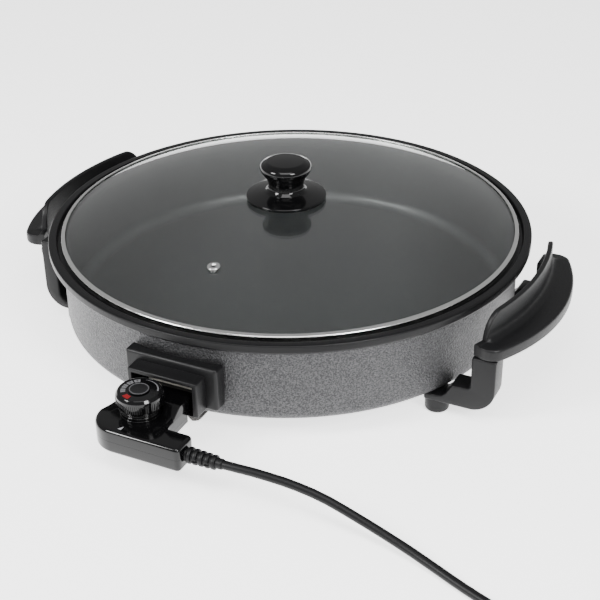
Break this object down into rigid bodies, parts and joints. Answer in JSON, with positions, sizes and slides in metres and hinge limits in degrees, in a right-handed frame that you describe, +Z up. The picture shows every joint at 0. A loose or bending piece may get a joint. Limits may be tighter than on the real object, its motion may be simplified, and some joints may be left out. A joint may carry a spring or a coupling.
{
  "type": "electric griddle",
  "caption": "Round electric griddle: deep cast pan on legged side handles, domed glass lid with knob, and a plug-in thermostat with turning dial and mains cord.",
  "frame": {"origin": "on the floor, under the middle of the box that holds the griddle without its cord", "axes": "+Z up; the thermostat and its socket face -Y; the two handles are on the X axis direction, left at -X and right at +X"},
  "size_m": [0.5822, 0.6286, 0.144],
  "materials": {
    "hammered_grey": "speckled grey coating outside, dark non-stick inside and on the rim",
    "heater_steel": "heat-dulled steel tube",
    "bright_steel": "polished",
    "lid_glass": "clear, lightly steamed",
    "moulded_black": "fine matt texture",
    "gloss_black": "polished black",
    "dial_face": "satin black",
    "brass": "plain",
    "ceramic_white": "unglazed",
    "screw_steel": "zinc plated",
    "cord_black": "matt"
  },
  "bodies": {
    "pan": {"pan_body": "hammered_grey", "heating_element": "heater_steel", "element_clip_1": "screw_steel", "element_clip_2": "screw_steel", "element_clip_3": "screw_steel", "terminal_pin_left": "bright_steel", "terminal_pin_right": "bright_steel", "terminal_plate": "ceramic_white", "sensor_sleeve": "brass", "earth_strip": "bright_steel", "socket_housing": "moulded_black", "socket_screw_left": "screw_steel", "socket_screw_right": "screw_steel", "grip_left": "moulded_black", "grip_right": "moulded_black", "leg_left_front": "moulded_black", "leg_left_rear": "moulded_black", "leg_right_front": "moulded_black", "leg_right_rear": "moulded_black", "foot_screw_left_front": "screw_steel", "foot_screw_left_rear": "screw_steel", "foot_screw_right_front": "screw_steel", "foot_screw_right_rear": "screw_steel"},
    "lid": {"lid_glass": "lid_glass", "lid_band": "bright_steel", "vent_eyelet": "bright_steel", "knob_head": "gloss_black", "knob_skirt": "gloss_black", "knob_washer": "cord_black", "knob_screw": "screw_steel"},
    "thermostat": {"case_upper": "gloss_black", "case_lower": "gloss_black", "case_screw_1": "screw_steel", "case_screw_2": "screw_steel", "dial_collar": "gloss_black", "receptacle_left": "brass", "receptacle_right": "brass", "probe_rod": "bright_steel", "switch_block": "ceramic_white", "bimetal_strip": "brass", "contact_arm": "brass", "cord_clamp": "moulded_black", "strain_relief": "cord_black", "power_cord": "cord_black", "cord_coil": "cord_black", "cord_tail": "cord_black", "plug_body": "cord_black", "plug_pin_1": "bright_steel", "plug_pin_2": "bright_steel"},
    "dial": {"dial_knob": "gloss_black", "dial_badge": "dial_face", "dial_spindle": "bright_steel"}
  },
  "joints": [
    {"name": "lid_lift", "type": "slide", "parent": "pan", "child": "lid", "axis": [0, 0, 1], "range_m": [0, 0.12]},
    {"name": "controller_pull", "type": "slide", "parent": "pan", "child": "thermostat", "axis": [0, -1, 0], "range_m": [0, 0.08]},
    {"name": "dial_turn", "type": "hinge", "parent": "thermostat", "child": "dial", "pos_m": [-0.005, -0.20175, 0.055], "axis": [0, 0, 1], "range_deg": [-280, 0]}
  ]
}
